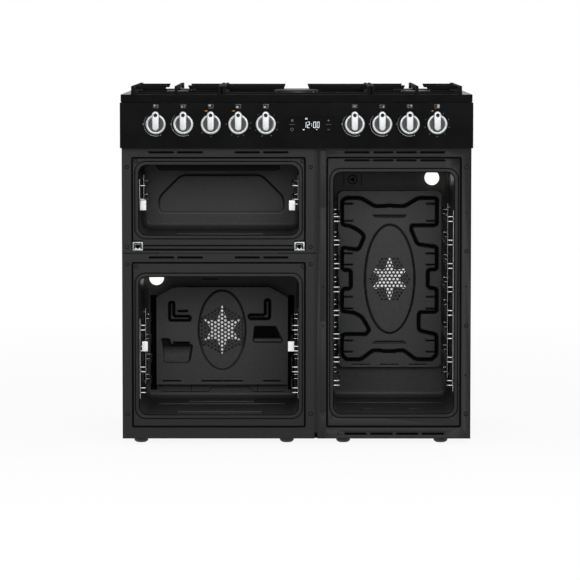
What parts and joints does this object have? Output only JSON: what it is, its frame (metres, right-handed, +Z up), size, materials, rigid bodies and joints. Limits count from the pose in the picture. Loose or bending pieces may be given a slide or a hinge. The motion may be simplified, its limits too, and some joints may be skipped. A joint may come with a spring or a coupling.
{
  "type": "range cooker",
  "caption": "Freestanding wide range cooker with a gas hob, control knobs and open oven cavities, shown without its doors.",
  "frame": {"origin": "on the floor under the middle of the bounding box", "axes": "+X to the right seen from the front, +Y to the rear, +Z up"},
  "size_m": [0.9, 0.632, 0.921],
  "materials": {
    "body_enamel": "satin charcoal enamel",
    "galvanised_steel": "galvanised sheet",
    "foot_plastic": "moulded black",
    "hob_enamel": "gloss black enamel",
    "fascia_gloss": "gloss black",
    "display_glass": "black glass",
    "case_plastic": "moulded",
    "cavity_enamel": "speckled grey enamel",
    "seal_rubber": "matte",
    "stainless": "stamped stainless",
    "motor_steel": "laminated steel",
    "element_steel": "dark oxidised tube",
    "chrome_wire": "bright chromed wire",
    "lamp_ceramic": "white ceramic",
    "lamp_glass": "clear heat-proof glass",
    "zinc_plate": "zinc-plated steel",
    "knob_silver": "satin silver",
    "spindle_steel": "turned steel",
    "brass": "turned brass",
    "box_plastic": "moulded grey",
    "cast_iron": "matt black enamelled",
    "cap_enamel": "satin black enamel",
    "crown_aluminium": "die-cast",
    "mineral_wool": "mineral wool"
  },
  "bodies": {
    "root": {"base_tray": "galvanised_steel", "burner_bodies": "crown_aluminium", "centre_post": "body_enamel", "control_fascia": "fascia_gloss", "cooling_fan_housing": "galvanised_steel", "display_window": "display_glass", "fan_guard_left": "cavity_enamel", "fan_guard_right": "cavity_enamel", "fan_motors": "motor_steel", "front_frame_grill": "body_enamel", "front_frame_left": "body_enamel", "front_frame_right": "body_enamel", "gas_inlet": "brass", "gas_rail": "zinc_plate", "gas_taps": "brass", "grill_element": "element_steel", "grill_liner": "cavity_enamel", "hinge_receivers": "zinc_plate", "hob_plate": "hob_enamel", "insulation": "mineral_wool", "lamp_holders": "lamp_ceramic", "lamp_lenses": "lamp_glass", "left_liner": "cavity_enamel", "levelling_feet": "foot_plastic", "mouth_seals": "seal_rubber", "oven_controls": "case_plastic", "rear_cover": "galvanised_steel", "right_liner": "cavity_enamel", "ring_elements": "element_steel", "side_panel_left": "body_enamel", "side_panel_right": "body_enamel", "side_racks": "chrome_wire", "terminal_box": "box_plastic", "timer_module": "case_plastic"},
    "spindle_1": {"gas_spindle_1": "spindle_steel"},
    "gas_knob_1": {"knob_1": "knob_silver"},
    "spindle_2": {"gas_spindle_2": "spindle_steel"},
    "gas_knob_2": {"knob_2": "knob_silver"},
    "spindle_3": {"gas_spindle_3": "spindle_steel"},
    "gas_knob_6": {"knob_6": "knob_silver"},
    "spindle_4": {"gas_spindle_4": "spindle_steel"},
    "gas_knob_7": {"knob_7": "knob_silver"},
    "spindle_5": {"gas_spindle_5": "spindle_steel"},
    "gas_knob_8": {"knob_8": "knob_silver"},
    "oven_knob_3": {"knob_3": "knob_silver"},
    "oven_knob_4": {"knob_4": "knob_silver"},
    "oven_knob_5": {"knob_5": "knob_silver"},
    "oven_knob_9": {"knob_9": "knob_silver"},
    "fan_left": {"fan_impeller_left": "stainless"},
    "fan_right": {"fan_impeller_right": "stainless"},
    "cooling_fan": {"cooling_fan_rotor": "case_plastic"},
    "support_left": {"pan_support_left": "cast_iron"},
    "burners_left": {"burner_caps_left": "cap_enamel", "burner_crowns_left": "crown_aluminium"},
    "support_centre": {"pan_support_centre": "cast_iron"},
    "burners_centre": {"burner_caps_centre": "cap_enamel", "burner_crowns_centre": "crown_aluminium"},
    "support_right": {"pan_support_right": "cast_iron"},
    "burners_right": {"burner_caps_right": "cap_enamel", "burner_crowns_right": "crown_aluminium"}
  },
  "joints": [
    {"name": "gas_knob_1_turn", "type": "hinge", "parent": "root", "child": "spindle_1", "pos_m": [-0.358, -0.27, 0.8248], "axis": [0, -1, 0], "range_deg": [0, 210]},
    {"name": "gas_knob_1_push", "type": "slide", "parent": "spindle_1", "child": "gas_knob_1", "axis": [0, 1, 0], "range_m": [0, 0.0035], "stiffness_N_per_m": 500},
    {"name": "gas_knob_2_turn", "type": "hinge", "parent": "root", "child": "spindle_2", "pos_m": [-0.288, -0.27, 0.8248], "axis": [0, -1, 0], "range_deg": [0, 210]},
    {"name": "gas_knob_2_push", "type": "slide", "parent": "spindle_2", "child": "gas_knob_2", "axis": [0, 1, 0], "range_m": [0, 0.0035], "stiffness_N_per_m": 500},
    {"name": "gas_knob_6_turn", "type": "hinge", "parent": "root", "child": "spindle_3", "pos_m": [0.148, -0.27, 0.8248], "axis": [0, -1, 0], "range_deg": [0, 210]},
    {"name": "gas_knob_6_push", "type": "slide", "parent": "spindle_3", "child": "gas_knob_6", "axis": [0, 1, 0], "range_m": [0, 0.0035], "stiffness_N_per_m": 500},
    {"name": "gas_knob_7_turn", "type": "hinge", "parent": "root", "child": "spindle_4", "pos_m": [0.218, -0.27, 0.8248], "axis": [0, -1, 0], "range_deg": [0, 210]},
    {"name": "gas_knob_7_push", "type": "slide", "parent": "spindle_4", "child": "gas_knob_7", "axis": [0, 1, 0], "range_m": [0, 0.0035], "stiffness_N_per_m": 500},
    {"name": "gas_knob_8_turn", "type": "hinge", "parent": "root", "child": "spindle_5", "pos_m": [0.288, -0.27, 0.8248], "axis": [0, -1, 0], "range_deg": [0, 210]},
    {"name": "gas_knob_8_push", "type": "slide", "parent": "spindle_5", "child": "gas_knob_8", "axis": [0, 1, 0], "range_m": [0, 0.0035], "stiffness_N_per_m": 500},
    {"name": "oven_knob_3_turn", "type": "hinge", "parent": "root", "child": "oven_knob_3", "pos_m": [-0.218, -0.27, 0.8248], "axis": [0, 1, 0], "range_deg": [0, 270]},
    {"name": "oven_knob_4_turn", "type": "hinge", "parent": "root", "child": "oven_knob_4", "pos_m": [-0.148, -0.27, 0.8248], "axis": [0, 1, 0], "range_deg": [0, 280]},
    {"name": "oven_knob_5_turn", "type": "hinge", "parent": "root", "child": "oven_knob_5", "pos_m": [-0.078, -0.27, 0.8248], "axis": [0, 1, 0], "continuous": true},
    {"name": "oven_knob_9_turn", "type": "hinge", "parent": "root", "child": "oven_knob_9", "pos_m": [0.358, -0.27, 0.8248], "axis": [0, 1, 0], "range_deg": [0, 270]},
    {"name": "fan_left_spin", "type": "hinge", "parent": "root", "child": "fan_left", "pos_m": [-0.1995, 0.15, 0.261], "axis": [0, 1, 0], "continuous": true},
    {"name": "fan_right_spin", "type": "hinge", "parent": "root", "child": "fan_right", "pos_m": [0.2495, 0.15, 0.3983], "axis": [0, 1, 0], "continuous": true},
    {"name": "cooling_fan_spin", "type": "hinge", "parent": "root", "child": "cooling_fan", "pos_m": [0, 0.25, 0.807], "axis": [0, 1, 0], "continuous": true},
    {"name": "support_left_lift", "type": "slide", "parent": "root", "child": "support_left", "axis": [0, 0, 1], "range_m": [0, 0.14]},
    {"name": "burners_left_lift", "type": "slide", "parent": "root", "child": "burners_left", "axis": [0, 0, 1], "range_m": [0, 0.07]},
    {"name": "support_centre_lift", "type": "slide", "parent": "root", "child": "support_centre", "axis": [0, 0, 1], "range_m": [0, 0.14]},
    {"name": "burners_centre_lift", "type": "slide", "parent": "root", "child": "burners_centre", "axis": [0, 0, 1], "range_m": [0, 0.07]},
    {"name": "support_right_lift", "type": "slide", "parent": "root", "child": "support_right", "axis": [0, 0, 1], "range_m": [0, 0.14]},
    {"name": "burners_right_lift", "type": "slide", "parent": "root", "child": "burners_right", "axis": [0, 0, 1], "range_m": [0, 0.07]}
  ],
  "couplings": [
    {"joint": "burners_left_lift", "follows": "support_left_lift", "ratio": 0.5},
    {"joint": "burners_centre_lift", "follows": "support_centre_lift", "ratio": 0.5},
    {"joint": "burners_right_lift", "follows": "support_right_lift", "ratio": 0.5}
  ]
}
